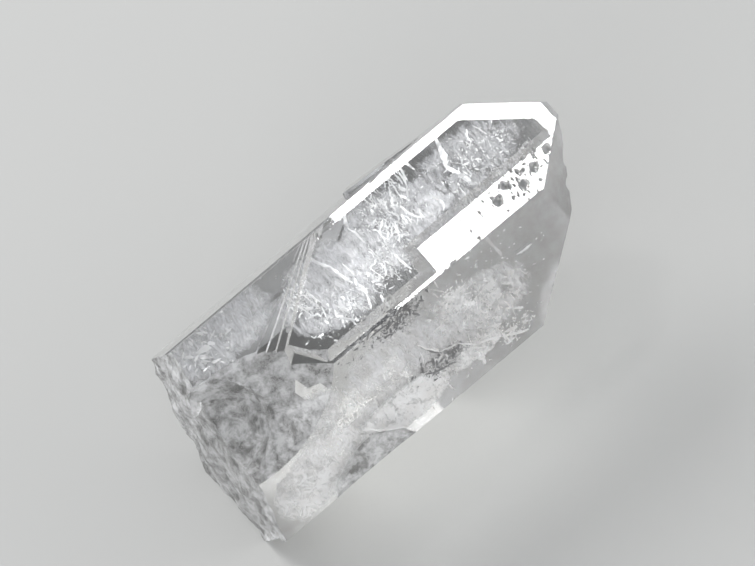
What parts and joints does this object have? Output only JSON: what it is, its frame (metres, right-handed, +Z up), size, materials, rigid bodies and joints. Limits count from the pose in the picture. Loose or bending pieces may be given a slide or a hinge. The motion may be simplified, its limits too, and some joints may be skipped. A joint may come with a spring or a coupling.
{
  "type": "quartz crystal",
  "caption": "Clear quartz crystal: a six-sided prism with a rhombohedral tip, raised growth layers and a broken root, lying on a prism face.",
  "frame": {"origin": "on the surface that the crystal lies on, under the middle of its box", "axes": "+X along the crystal's long axis, from the broken root to the tip; +Y to the left, seen from the root; +Z up"},
  "size_m": [0.0714, 0.0368, 0.0339],
  "materials": {
    "clear_quartz": "clear to milky natural crystal, glossy faces"
  },
  "bodies": {
    "root": {"quartz_crystal": "clear_quartz"}
  },
  "joints": []
}
